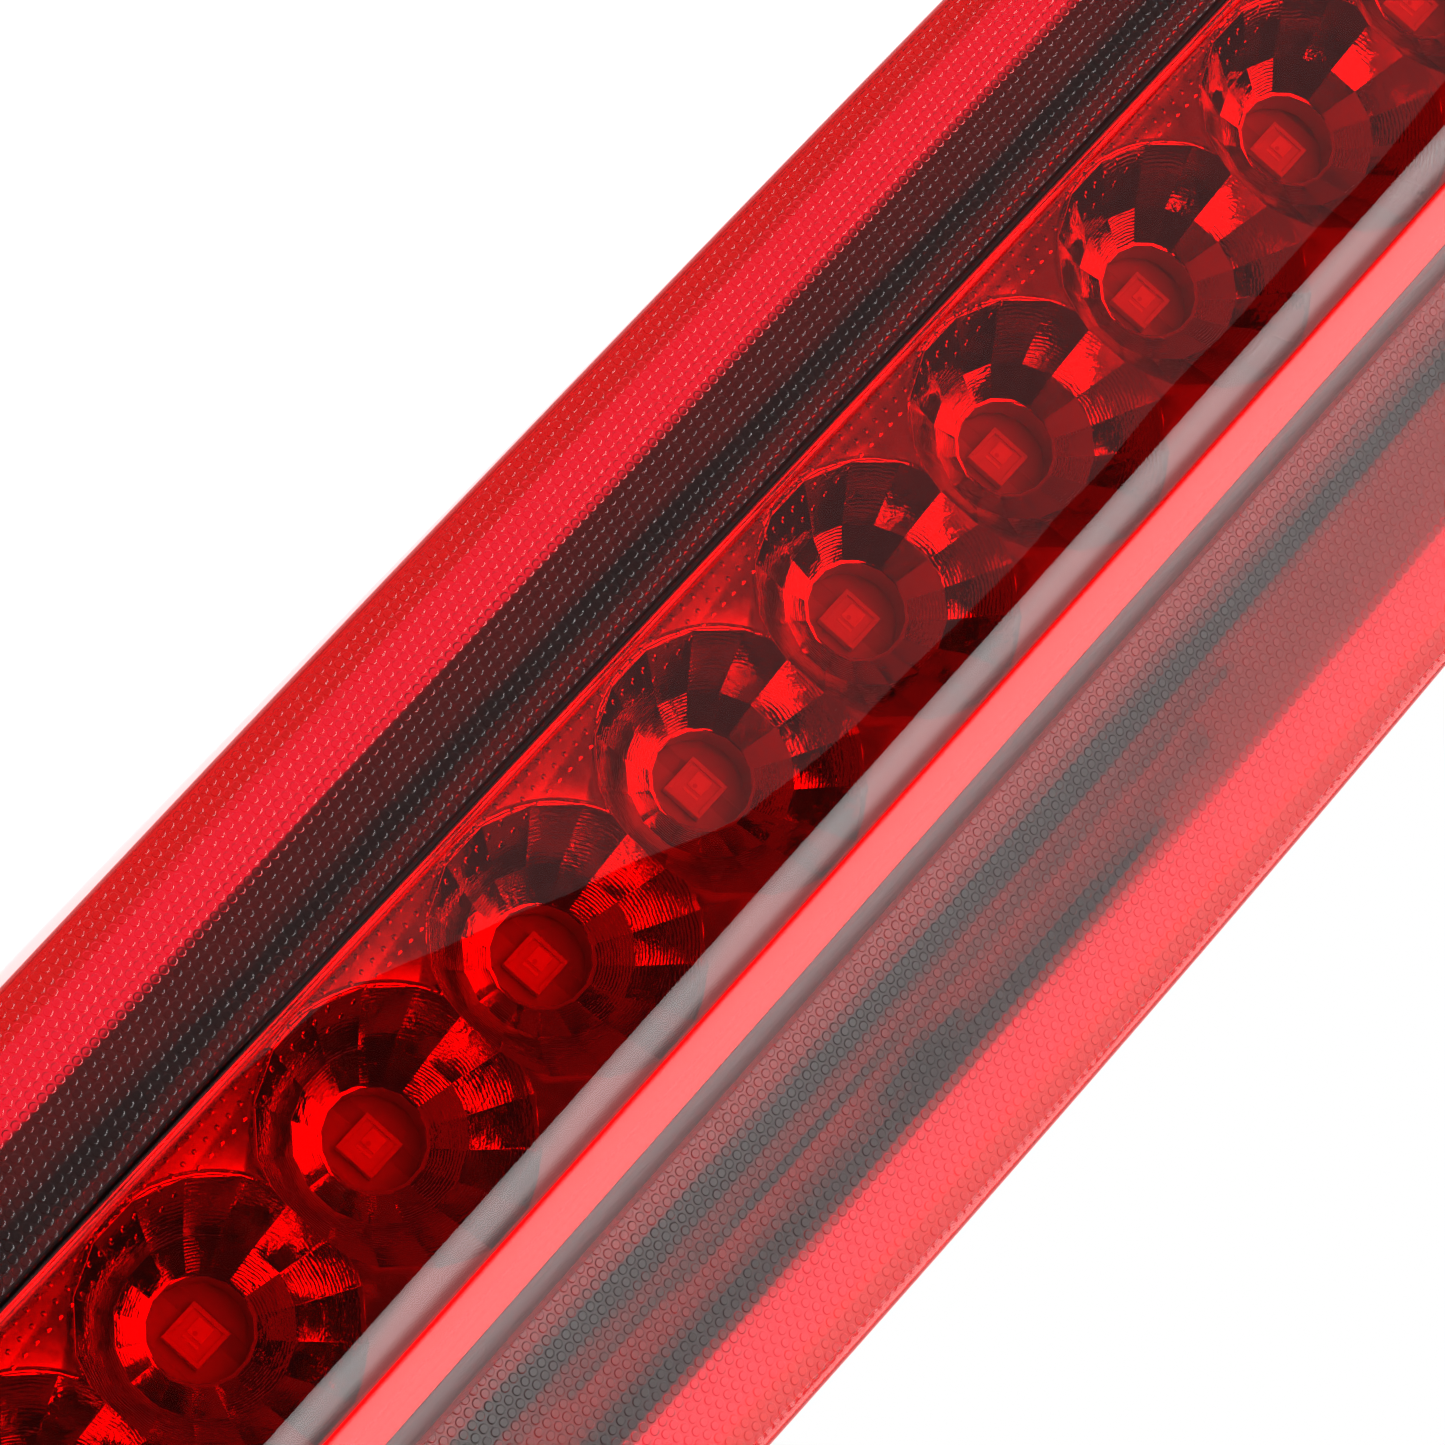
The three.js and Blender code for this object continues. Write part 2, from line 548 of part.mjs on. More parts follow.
[['left', -STUD_X], ['right', STUD_X]].forEach(([side, x]) => {
  place(`stud_${side}`, studGeometry(x), zincSteel);
  place(`nut_${side}`, nutGeometry(x), zincSteel);
});
screwPlaces().forEach(([x, z], index) => {
  place(`reflector_screw_${index + 1}`, screwGeometry(x, z), zincSteel);
});
place('vent_plug', turned([[0, -3.9], [VENT_RADIUS, -3.9], [VENT_RADIUS, -1.7], [VENT_HEAD_RADIUS, -1.7],
  [VENT_HEAD_RADIUS, -0.6], [0, -0.6]], VENT_X, 0), silicone);

export default lamp;
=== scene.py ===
"""Looks of a high-mount LED brake lamp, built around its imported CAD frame.

Lengths in this script are in millimetres and are turned into metres where a mesh or a light is made.
X runs along the lamp, the lens faces -Y and +Z is up.
"""
import math

import bmesh
import bpy
from mathutils import Matrix, Vector


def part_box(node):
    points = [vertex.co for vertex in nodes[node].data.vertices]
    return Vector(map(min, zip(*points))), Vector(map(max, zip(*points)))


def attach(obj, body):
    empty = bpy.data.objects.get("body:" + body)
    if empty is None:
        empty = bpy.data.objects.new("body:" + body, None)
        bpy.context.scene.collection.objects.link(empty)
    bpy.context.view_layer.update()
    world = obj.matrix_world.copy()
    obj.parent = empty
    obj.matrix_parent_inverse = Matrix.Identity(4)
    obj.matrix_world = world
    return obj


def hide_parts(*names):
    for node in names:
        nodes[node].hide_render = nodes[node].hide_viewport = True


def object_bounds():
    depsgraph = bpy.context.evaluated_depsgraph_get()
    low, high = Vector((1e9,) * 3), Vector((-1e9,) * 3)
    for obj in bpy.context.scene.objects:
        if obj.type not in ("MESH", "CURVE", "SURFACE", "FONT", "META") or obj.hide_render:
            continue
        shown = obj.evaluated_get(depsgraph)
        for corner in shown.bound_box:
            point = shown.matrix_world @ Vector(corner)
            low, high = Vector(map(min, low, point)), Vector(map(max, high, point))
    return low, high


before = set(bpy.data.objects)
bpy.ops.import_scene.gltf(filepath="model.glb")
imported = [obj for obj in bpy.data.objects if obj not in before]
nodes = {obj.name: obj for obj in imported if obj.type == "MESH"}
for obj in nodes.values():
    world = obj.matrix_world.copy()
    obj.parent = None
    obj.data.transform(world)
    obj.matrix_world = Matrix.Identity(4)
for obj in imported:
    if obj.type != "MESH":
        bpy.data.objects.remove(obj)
cad_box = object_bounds()

MM = 0.001
BODY = "lamp_body"

# ---- the camera ----
CAMERA_AZIMUTH = 22.0
CAMERA_ELEVATION = 1.5
CAMERA_ROLL = 131.9
CAMERA_TARGET = (36.43, -22.0, -1.84)
CAMERA_DISTANCE = 280.0
CAMERA_LENS = 118.9

# ---- studio: lengths in millimetres, light as a share of the white background ----
FRONT_GLOW = 0.03                    # what the room in front of the lamp sends back, at eye level
FLOOR_GLOW = 0.38                    # and from below
SIDE_CARD_GLOW = 7.0
LOW_CARD_GLOW = 0.4
SOFTBOX_LEVELS = (                   # angle above the lamp's horizon in degrees, light
    (6.0, 3.4), (10.0, 5.2), (16.0, 7.2), (31.0, 6.2), (35.0, 4.0), (37.5, 2.6), (40.0, 1.7), (44.0, 1.4),
    (45.3, 0.12), (47.0, 0.12), (48.5, 2.0), (50.0, 4.2), (66.0, 4.6))
SOFTBOX_X = (-3600.0, 100.0)
SOFTBOX_FOOT_Y = -1500.0
SOFTBOX_BEND = (-900.0, 2020.0)      # Y and Z of the fold between its two planes
SOFTBOX_TOP = (-100.0, 2400.0)
LOW_CARD_Y = -1200.0
LOW_CARD_OUTLINE = (                 # X and Z; the corner nearest the lamp is cut off in a bow
    (-2300, -140), (-240, -140), (-278, -70), (-330, -47), (-383, -25), (-418, -8), (-470, -1.7),
    (-560, 1.1), (-2300, 1.4))
FLOOR_HALF = 4000.0

# ---- lens and reflector, as in the CAD part; a height is measured forwards from the rim's plane ----
RIM_Y = -20.0
LENS_HALF_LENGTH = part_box("lens")[1].x / MM
LENS_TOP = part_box("lens")[1].z / MM
LENS_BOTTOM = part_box("lens")[0].z / MM
LENS_WALL = 2.4
LENS_CORNER = 10.0
TOP_BOW = 0.00023                    # how the long edges bow: a drop of this times X squared
BOTTOM_BOW = 0.00012
EDGE_RADIUS = 0.8
SKIRT_WALL = 2.3
SKIRT_BACK_Y = -9.0
SKIRT_EDGE = 0.3                     # rounding of the skirt's back edges
END_DROP = 9.0                       # how far the front falls back at the lamp's ends
END_RUN = 19.8                       # over this length
END_EASE = 1.6
END_CLEARANCE = 1.0                  # the falling front starts this far in front of the window
# Z and height of the three control points of each flange's curve, from the outer edge inwards.
UPPER_FLANGE = ((40.0, -8.6), (24.0, -1.1), (12.9, 2.1))
LOWER_FLANGE = ((-34.0, -0.8), (-18.0, 2.9), (-9.6, 3.9))
BASE_HEIGHT = 3.9
BASE_END_Z = 8.3
WINDOW_HEIGHT = 4.6
WINDOW_HALF_LENGTH = 125.0
WINDOW_END_STEP = 0.4
DOT_PITCH = 0.715
DOT_HEIGHT = 0.042
LED_COUNT = 16
LED_PITCH = 15.0
CUP_FACETS = 16
CUP_CENTRE_Z = -0.3
STUD_RADIUS = 2.5
STUD_PITCH = 0.8
STUD_HEAD_Y = -4.6
THREAD_DEPTH = 0.46


# ---------------------------------------------------------------- meshes
def add_object(name, mesh, smooth=True):
    for polygon in mesh.polygons:
        polygon.use_smooth = smooth
    piece = bpy.data.objects.new(name, mesh)
    bpy.context.scene.collection.objects.link(piece)
    return piece


def mesh_from(name, vertices, faces):
    """A mesh from vertices in millimetres, with its normals turned outwards."""
    mesh = bpy.data.meshes.new(name)
    mesh.from_pydata([[c * MM for c in v] for v in vertices], [], faces)
    bm = bmesh.new()
    bm.from_mesh(mesh)
    bmesh.ops.recalc_face_normals(bm, faces=bm.faces)
    bm.to_mesh(mesh)
    bm.free()
    return mesh


def tube_faces(sections, around):
    """Faces of a closed tube whose points run section by section, with a cap at each end."""
    faces = []
    for j in range(sections):
        for k in range(around):
            n = (k + 1) % around
            a, b = j * around, (j + 1) * around
            faces.append((a + k, a + n, b + n, b + k))
    return faces + [tuple(range(around)), tuple(sections * around + k for k in range(around))]


def softened(node, width, angle=25.0, segments=2):
    """A copy of a CAD node whose flat facets are merged and whose edges are rounded."""
    mesh = nodes[node].data.copy()
    bm = bmesh.new()
    bm.from_mesh(mesh)
    bmesh.ops.remove_doubles(bm, verts=bm.verts, dist=1e-6)
    bmesh.ops.dissolve_limit(bm, angle_limit=math.radians(0.4), verts=bm.verts, edges=bm.edges)
    bm.to_mesh(mesh)
    bm.free()
    mesh.materials.clear()
    piece = add_object("soft_" + node, mesh)
    bevel = piece.modifiers.new("bevel", "BEVEL")
    bevel.width = width * MM
    bevel.segments = segments
    bevel.limit_method = "ANGLE"
    bevel.angle_limit = math.radians(angle)
    bevel.use_clamp_overlap = True
    bevel.harden_normals = True
    return piece


def dress(piece, material, node, body=BODY):
    """Gives a piece its material, the body it rides on and the CAD node it replaces."""
    piece.data.materials.append(material)
    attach(piece, body)
    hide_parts(node)
    return piece


# ---------------------------------------------------------------- lens shape
def along_curve(points, t):
    """A point of the quadratic curve through three control points."""
    return tuple((1 - t) ** 2 * a + 2 * t * (1 - t) * b + t * t * c for a, b, c in zip(*points))


def curve_height(points, z):
    """Height of a flange curve at z, found by halving; its points run from the outer edge inwards."""
    low, high = 0.0, 1.0
    for _ in range(30):
        middle = (low + high) / 2
        if abs(along_curve(points, middle)[0]) > abs(z):
            low = middle
        else:
            high = middle
    return along_curve(points, low)[1]


def base_height(z):
    """Height of the lens front beyond its window."""
    if z <= LOWER_FLANGE[2][0]:
        return curve_height(LOWER_FLANGE, z)
    if z >= UPPER_FLANGE[2][0]:
        return curve_height(UPPER_FLANGE, z)
    if z <= BASE_END_Z:
        return BASE_HEIGHT
    start, end = (BASE_END_Z, BASE_HEIGHT), UPPER_FLANGE[2]
    return start[1] + (end[1] - start[1]) * (z - start[0]) / (end[0] - start[0])


def window_profile():
    """Points (z, height) across the raised window, its rounded ridge and its sloping upper side."""
    step = [LOWER_FLANGE[2], (-9.2, 3.9), (-8.98, 3.9), (-8.91, 3.92), (-8.87, 3.97), (-8.84, 4.1),
            (-8.82, 4.3), (-8.79, 4.47), (-8.74, 4.55), (-8.65, 4.59), (-8.5, WINDOW_HEIGHT)]
    flat = [(z, WINDOW_HEIGHT) for z in (-7.5, -5.0, -2.5, 0.0, 2.5, 5.0, 5.9, 6.12)]
    # Each stretch of the ridge: the Z where it ends and how many degrees it leans back.
    stretches = [(6.3, 1.3), (6.55, 3.6), (6.9, 5.9), (7.28, 8.4), (7.57, 11.6), (7.87, 15.1),
                 (8.16, 17.6), (8.45, 19.6), (8.74, 21.6), (8.9, 22.8), (9.05, 23.7), (9.2, 24.6),
                 (9.4, 26.2), (9.6, 28.5), (10.2, 30.9), (11.3, 30.9), (11.33, 30.9), (11.35, 23.5),
                 (11.37, 15.8), (11.8, 15.8), (12.4, 15.8)]
    z, height = flat[-1]
    ridge = []
    for end, lean in stretches:
        height -= (end - z) * math.tan(math.radians(lean))
        z = end
        ridge.append((z, height))
    return step + flat + ridge + [UPPER_FLANGE[2]]


def plan_front(x, inset):
    """Y that the lens front keeps behind as it rounds off towards its ends."""
    half = LENS_HALF_LENGTH - inset
    front = RIM_Y - WINDOW_HEIGHT - END_CLEARANCE + inset
    if abs(x) <= half - END_RUN:
        return front
    t = 1 - math.sqrt(max(half - abs(x), 0.0) / END_RUN)
    return (1 - t) ** 2 * front + 2 * t * (1 - t) * (front + END_EASE) + t * t * (front + END_DROP)


def smooth_max(a, b, blend=0.5):
    """The larger of two values, with the change from one to the other rounded off."""
    overlap = max(blend - abs(a - b), 0.0) / blend
    return max(a, b) + overlap * overlap * blend / 4


def lens_front(x, z, height):
    """Y of the outer face, which steps up from the flanges' level to `height` inside the window."""
    rise = min(max((WINDOW_HALF_LENGTH + WINDOW_END_STEP / 2 - abs(x)) / WINDOW_END_STEP, 0.0), 1.0)
    rise = rise * rise * (3 - 2 * rise)
    base = base_height(z)
    return smooth_max(RIM_Y - base - rise * (height - base), plan_front(x, 0.0))


def lens_inside(x, z, _=None):
    """Y of the inner face, which has no step behind the window."""
    return smooth_max(RIM_Y - base_height(z) + LENS_WALL, plan_front(x, LENS_WALL))


def lens_columns():
    """Columns along the lamp as (x, corner angle or None), closer together where the shape changes fast."""
    middle = [2.0 * k for k in range(61)]
    window_end = [121.5, 123, 124.2, 124.75, 124.85, 124.92, 125, 125.08, 125.15, 125.25, 125.8, 126.6,
                  127.6, 128.6, 130, 131.5, 133, 134.5]
    shoulder = LENS_HALF_LENGTH - LENS_CORNER
    corner_steps = 16
    corner = [(shoulder, k * math.pi / 2 / corner_steps) for k in range(corner_steps + 1)]
    half = [(x, None) for x in middle + window_end] + corner
    return [(-x, angle) for x, angle in reversed(half[1:])] + half


def even_rows(start, end, count):
    return [start + (end - start) * k / count for k in range(count + 1)]


def lens_grid(inset):
    """X and Z of every lens grid point for an outline drawn in by `inset`, with the window height there."""
    corner = LENS_CORNER - inset
    profile = window_profile()
    flange_gap = 0.02
    low_start, high_start = profile[0][0] - flange_gap, profile[-1][0] + flange_gap
    grid = []
    for x, angle in lens_columns():
        drop, rise = TOP_BOW * x * x, BOTTOM_BOW * x * x
        if angle is None:
            top, bottom, place = LENS_TOP - inset - drop, LENS_BOTTOM + inset + rise, x
        else:
            top = LENS_TOP - drop - LENS_CORNER + corner * math.cos(angle)
            bottom = LENS_BOTTOM + rise + LENS_CORNER - corner * math.cos(angle)
            place = math.copysign(abs(x) + corner * math.sin(angle), x)
        lower = [(z, base_height(z)) for z in even_rows(bottom, low_start, 16)]
        upper = [(z, base_height(z)) for z in even_rows(high_start, top, 20)]
        grid.append([(place, z, height) for z, height in lower + profile + upper])
    return grid


def rim_of(grid):
    """Grid indices once round the border of a grid."""
    last_column, last_row = len(grid) - 1, len(grid[0]) - 1
    return ([(i, 0) for i in range(last_column)] + [(last_column, j) for j in range(last_row)]
            + [(i, last_row) for i in range(last_column, 0, -1)] + [(0, j) for j in range(last_row, 0, -1)])


def lens_mesh():
    """The lens as one closed shell. Its "dotted" attribute is 1 on the outer face of both flanges."""
    front_grid, inside_grid = lens_grid(EDGE_RADIUS), lens_grid(SKIRT_WALL)
    columns, rows = len(front_grid), len(front_grid[0])
    vertices, faces, dotted = [], [], []

    def add_patch(grid, surface, inner):
        start = len(vertices)
        for column in grid:
            for x, z, height in column:
                vertices.append((x, surface(x, z, height), z))
                on_flange = z < LOWER_FLANGE[2][0] - 0.01 or z > UPPER_FLANGE[2][0] + 0.01
                dotted.append(1.0 if on_flange and not inner else 0.0)
        for i in range(columns - 1):
            for j in range(rows - 1):
                a = start + i * rows + j
                faces.append((a, a + 1, a + rows + 1, a + rows))
        return [start + i * rows + j for i, j in rim_of(grid)]

    def add_ring(inset, y_of):
        grid = lens_grid(inset)
        start = len(vertices)
        for i, j in rim_of(grid):
            x, z, _ = grid[i][j]
            vertices.append((x, y_of(i, j), z))
            dotted.append(0.0)
        return list(range(start, len(vertices)))

    def bridge(ring_a, ring_b):
        for k in range(len(ring_a)):
            n = (k + 1) % len(ring_a)
            faces.append((ring_a[k], ring_a[n], ring_b[n], ring_b[k]))

    rings = [add_patch(front_grid, lens_front, False)]
    for angle in (22.5, 45.0, 67.5, 90.0):
        turn = math.radians(angle)
        back = EDGE_RADIUS * (1 - math.cos(turn))
        rings.append(add_ring(EDGE_RADIUS * (1 - math.sin(turn)),
                              lambda i, j, back=back: lens_front(*front_grid[i][j]) + back))
    edge, soft = SKIRT_EDGE, 0.3 * SKIRT_EDGE
    outer_edge = ((0.0, edge), (soft, soft), (edge, 0.0))
    inner_edge = ((SKIRT_WALL - edge, 0.0), (SKIRT_WALL - soft, soft), (SKIRT_WALL, edge))
    for inset, lift in outer_edge + inner_edge:
        rings.append(add_ring(inset, lambda i, j, lift=lift: SKIRT_BACK_Y - lift))
    rings.append(add_patch(inside_grid, lens_inside, True))
    for ring_a, ring_b in zip(rings, rings[1:]):
        bridge(ring_a, ring_b)
    mesh = mesh_from("clear_lens", vertices, faces)
    layer = mesh.attributes.new("dotted", "FLOAT", "POINT")
    layer.data.foreach_set("value", dotted)
    return mesh


# ---------------------------------------------------------------- sealant
SEALS = (  # name, CAD node, X range, middle Z and half width at X = 0, how it bends, wander
    ("seal_lower", "sealant_bead_lower", (-127, 127), -12.05, 0.8, -BOTTOM_BOW, 0.25),
    ("seal_upper", "sealant_bead_upper", (-127, 127), 16.1, 1.0, TOP_BOW, 0.12),
    ("seal_outer", "sealant_run_outer", (20, 96), 21.5, 0.85, TOP_BOW, 0.12),
    ("seal_smear", "sealant_run_outer", (10, 72), 18.35, 0.28, TOP_BOW, 0.2),
    ("seal_bridge", "sealant_run_outer", (38, 46), 20.1, 1.5, TOP_BOW, 0.3),
)
SEAL_STEP = 0.5                      # between sections along a run
SEAL_MIDDLE = 0.35                   # from the lens's inner face back to the middle of a run
SEAL_HALF_DEPTH = 0.47
SEAL_TIP = 0.15                      # share of its width that a run has at its ends
SEAL_TAPER = 9.0
SEAL_BEND_LIMIT = 1.3


def wander(x, seed, size):
    """A smooth wandering line made of a few waves."""
    return size * (math.sin(x * 0.11 + seed) + 0.6 * math.sin(x * 0.27 + 2.3 * seed)
                   + 0.4 * math.sin(x * 0.71 + 4.1 * seed)) / 2


def seal_edges(x, seed, x_range, middle_z, half_width, bow, sway):
    """Lower and upper Z of a run at x. It bends with the lens's edge and thins out at both ends."""
    thin = min(1.0, SEAL_TIP + (x - x_range[0]) / SEAL_TAPER, SEAL_TIP + (x_range[1] - x) / SEAL_TAPER)
    middle = middle_z - math.copysign(min(abs(bow) * x * x, SEAL_BEND_LIMIT), bow)
    low = middle - half_width * thin + wander(x, seed + 1, sway)
    high = middle + half_width * thin + wander(x, seed + 5, sway)
    return low, max(high, low + 0.1)


def seal_mesh(name, seed, x_range, *shape):
    """A run of sealant pressed flat against the inside of the lens."""
    columns = int((x_range[1] - x_range[0]) / SEAL_STEP)
    around = 10
    vertices = []
    for i in range(columns + 1):
        x = x_range[0] + (x_range[1] - x_range[0]) * i / columns
        low, high = seal_edges(x, seed, x_range, *shape)
        for k in range(around):
            turn = 2 * math.pi * k / around
            z = (low + high) / 2 + (high - low) / 2 * math.cos(turn)
            bulge = math.copysign(abs(math.sin(turn)) ** 0.4, math.sin(turn))
            vertices.append((x, lens_inside(x, z) + SEAL_MIDDLE - SEAL_HALF_DEPTH * bulge, z))
    return mesh_from(name, vertices, tube_faces(columns, around))


def build_sealant(material):
    for seed, (name, node, x_range, *shape) in enumerate(SEALS):
        dress(add_object(name, seal_mesh(name, seed, x_range, *shape)), material, node)


# ---------------------------------------------------------------- node trees
class Shade:
    """Adds and joins the nodes of one material or world."""

    def __init__(self, name, kind="Material"):
        self.owner = (bpy.data.worlds if kind == "World" else bpy.data.materials).new(name)
        self.owner.use_nodes = True
        self.tree = self.owner.node_tree
        self.tree.nodes.clear()
        self.output = self.tree.nodes.new("ShaderNodeOutput" + kind)

    def node(self, kind, settings=None, **inputs):
        """Adds a node. An input is named as on the node, with _ for a space, or by number, as i0."""
        made = self.tree.nodes.new("ShaderNode" + kind)
        for key, value in (settings or {}).items():
            setattr(made, key, value)
        for key, value in inputs.items():
            numbered = key[0] == "i" and key[1:].isdigit()
            socket = made.inputs[int(key[1:]) if numbered else key.replace("_", " ")]
            if isinstance(value, bpy.types.NodeSocket):
                self.tree.links.new(value, socket)
            else:
                socket.default_value = value
        return made

    def math(self, operation, a, b=0.0, c=0.0):
        return self.node("Math", {"operation": operation}, i0=a, i1=b, i2=c).outputs[0]

    def vector(self, operation, a, b=(0, 0, 0)):
        made = self.node("VectorMath", {"operation": operation}, i0=a, i1=b)
        return made.outputs["Value" if operation == "LENGTH" else "Vector"]

    def place(self):
        return self.node("TexCoord").outputs["Object"]

    def noise(self, scale, detail=3.0, stretch=None, distortion=0.0):
        place = self.place()
        if stretch:
            place = self.vector("MULTIPLY", place, stretch)
        made = self.node("TexNoise", Vector=place, Scale=scale, Detail=detail, Distortion=distortion)
        return made.outputs[0]

    def range(self, value, low, high, to_low=0.0, to_high=1.0):
        return self.node("MapRange", Value=value, i1=low, i2=high, i3=to_low, i4=to_high).outputs[0]

    def blend(self, factor, a, b):
        return self.node("Mix", {"data_type": "RGBA"}, i0=factor, i6=a, i7=b).outputs[2]

    def bump(self, height, distance, normal=None):
        """Relief of so many millimetres."""
        made = self.node("Bump", Height=height, Distance=distance * MM, Strength=1.0)
        if normal:
            self.tree.links.new(normal, made.inputs["Normal"])
        return made.outputs[0]

    def surface(self, shader):
        self.tree.links.new(shader.outputs[0], self.output.inputs["Surface"])
        return self.owner

    def principled(self, **inputs):
        return self.node("BsdfPrincipled", **inputs)


def rgb(r, g, b):
    return (r, g, b, 1.0)


def hex_dots(shade, pitch, place):
    """Distance to the nearest point of a hexagonal lattice in X and Z, in units of the pitch."""
    stretch = (1 / pitch, 0.0, 1 / (pitch * math.sqrt(3)))
    scaled = shade.vector("MULTIPLY", place, stretch)
    near = []
    for shift in (0.0, 0.5):
        cell = shade.vector("FRACTION", shade.vector("ADD", scaled, (shift, 0.0, shift)))
        offset = shade.vector("SUBTRACT", cell, (0.5, 0.0, 0.5))
        near.append(shade.vector("LENGTH", shade.vector("MULTIPLY", offset, (1.0, 0.0, math.sqrt(3)))))
    return shade.math("MINIMUM", near[0], near[1])


def raised_dots(shade):
    """Flat-topped round dots on a hexagonal lattice, 0 between them and 1 on top."""
    foot, top = 0.43, 0.3
    near = hex_dots(shade, DOT_PITCH * MM, shade.place())
    rounded = {"interpolation_type": "SMOOTHSTEP"}
    return shade.node("MapRange", rounded, Value=near, i1=foot, i2=top).outputs[0]


def red_acrylic():
    """Clear red moulding: smooth at the window, fine raised dots on the flanges."""
    shade = Shade("red_acrylic")
    flange = shade.node("Attribute", {"attribute_name": "dotted"}).outputs["Fac"]
    dots = shade.math("MULTIPLY", raised_dots(shade), flange)
    drift = shade.math("MULTIPLY", shade.noise(90.0, 1.0), 0.3)
    normal = shade.bump(shade.math("ADD", dots, drift), DOT_HEIGHT)
    rough = shade.math("MULTIPLY", flange, 0.28)
    glass = shade.principled(Base_Color=rgb(1, 1, 1), Roughness=rough, IOR=1.49, Transmission_Weight=1.0,
                             Normal=normal)
    clear = shade.node("BsdfTransparent", Color=rgb(0.96, 0.96, 0.96))
    shadow = shade.node("LightPath").outputs["Is Shadow Ray"]
    mixed = shade.node("MixShader", i0=shadow, i1=glass.outputs[0], i2=clear.outputs[0])
    volume = shade.node("VolumeAbsorption", Color=rgb(0.988, 0.10, 0.39), Density=2500.0)
    shade.tree.links.new(volume.outputs[0], shade.output.inputs["Volume"])
    return shade.surface(mixed)


def metallised():
    """Vacuum-metallised moulding: ridged facets in the cups and a strip of fine dots below them."""
    shade = Shade("metallised")
    ridge_pitch, dot_pitch = 0.17, 0.95
    x, _, z = shade.node("SeparateXYZ", Vector=shade.place()).outputs
    cups = shade.math("MULTIPLY_ADD", x, 1 / (LED_PITCH * MM), LED_COUNT / 2)
    across = shade.math("MULTIPLY", shade.math("SUBTRACT", shade.math("FRACT", cups), 0.5), LED_PITCH * MM)
    up = shade.math("SUBTRACT", z, CUP_CENTRE_Z * MM)
    radius = shade.math("SQRT", shade.math("ADD", shade.math("MULTIPLY", across, across),
                                           shade.math("MULTIPLY", up, up)))
    turn = shade.math("ARCTAN2", up, across)
    facet = shade.math("ROUND", shade.math("MULTIPLY", turn, CUP_FACETS / (2 * math.pi)))
    seed = shade.node("CombineXYZ", X=facet, Y=shade.math("FLOOR", cups)).outputs[0]
    luck = shade.node("TexWhiteNoise", {"noise_dimensions": "3D"}, Vector=seed).outputs[0]
    drift = shade.math("MULTIPLY", shade.noise(900.0, 2.0), 9.0)
    phase = shade.math("MULTIPLY_ADD", radius, 2 * math.pi / (ridge_pitch * MM), drift)
    ridges = shade.math("MULTIPLY", shade.math("SINE", phase), shade.range(luck, 0.1, 1.0, 0.15, 1.0))
    crumple = shade.math("MULTIPLY", shade.noise(1100.0, 3.0, None, 0.8), 3.0)
    relief = shade.math("MULTIPLY_ADD", ridges, 0.35, crumple)
    in_cup = shade.range(radius, 8.3 * MM, 8.1 * MM)
    cup_normal = shade.bump(shade.math("MULTIPLY", relief, in_cup), 0.008)
    dots = shade.range(hex_dots(shade, dot_pitch * MM, shade.place()), 0.17, 0.08)
    below_cups, above_edge = shade.range(z, -6.5 * MM, -6.7 * MM), shade.range(z, -8.7 * MM, -8.5 * MM)
    strip = shade.math("MULTIPLY", below_cups, above_edge)
    normal = shade.bump(shade.math("MULTIPLY", dots, strip), 0.06, cup_normal)
    haze = shade.range(shade.noise(700.0), 0.3, 0.7, 0.12, 0.17)
    rough = shade.math("MULTIPLY_ADD", in_cup, shade.range(luck, 0.0, 1.0, -0.09, -0.03), haze)
    return shade.surface(shade.principled(Base_Color=rgb(0.66, 0.66, 0.67), Metallic=1.0, Roughness=rough,
                                          Normal=normal))


def moulded_plastic(name, colour, roughness=0.5, grain=2600.0, depth=0.012):
    shade = Shade(name)
    light = tuple(min(c * 1.5 + 0.006, 1.0) for c in colour)
    tone = shade.blend(shade.noise(220.0, 4.0), rgb(*colour), rgb(*light))
    rough = shade.range(shade.noise(500.0), 0.3, 0.7, roughness - 0.08, roughness + 0.08)
    normal = shade.bump(shade.noise(grain, 2.0), depth)
    return shade.surface(shade.principled(Base_Color=tone, Roughness=rough, Normal=normal))


def sealant():
    shade = Shade("black_sealant")
    tone = shade.blend(shade.noise(1400.0, 3.0), rgb(0.003, 0.003, 0.003), rgb(0.016, 0.012, 0.012))
    normal = shade.bump(shade.noise(2200.0, 2.0), 0.02)
    return shade.surface(shade.principled(Base_Color=tone, Roughness=0.6, Specular_IOR_Level=0.05,
                                          Normal=normal))


def board_mask():
    """White solder mask over broad copper areas with gaps between them."""
    shade = Shade("white_board")
    half_pitch = 3.7 * MM
    x = shade.node("SeparateXYZ", Vector=shade.place()).outputs[0]
    bars = shade.math("PINGPONG", x, half_pitch)
    copper = shade.math("MULTIPLY", shade.range(bars, 0.5 * MM, 0.6 * MM),
                        shade.range(bars, 3.2 * MM, 3.1 * MM))
    tone = shade.blend(copper, rgb(0.38, 0.38, 0.36), rgb(0.46, 0.46, 0.44))
    normal = shade.bump(shade.math("ADD", copper, shade.noise(1800.0)), 0.02)
    return shade.surface(shade.principled(Base_Color=tone, Roughness=0.35, Normal=normal))


def led_package():
    shade = Shade("led_package")
    tone = shade.blend(shade.noise(3000.0), rgb(0.66, 0.64, 0.58), rgb(0.76, 0.74, 0.68))
    normal = shade.bump(shade.noise(9000.0, 1.0), 0.004)
    return shade.surface(shade.principled(Base_Color=tone, Roughness=0.4, Normal=normal))


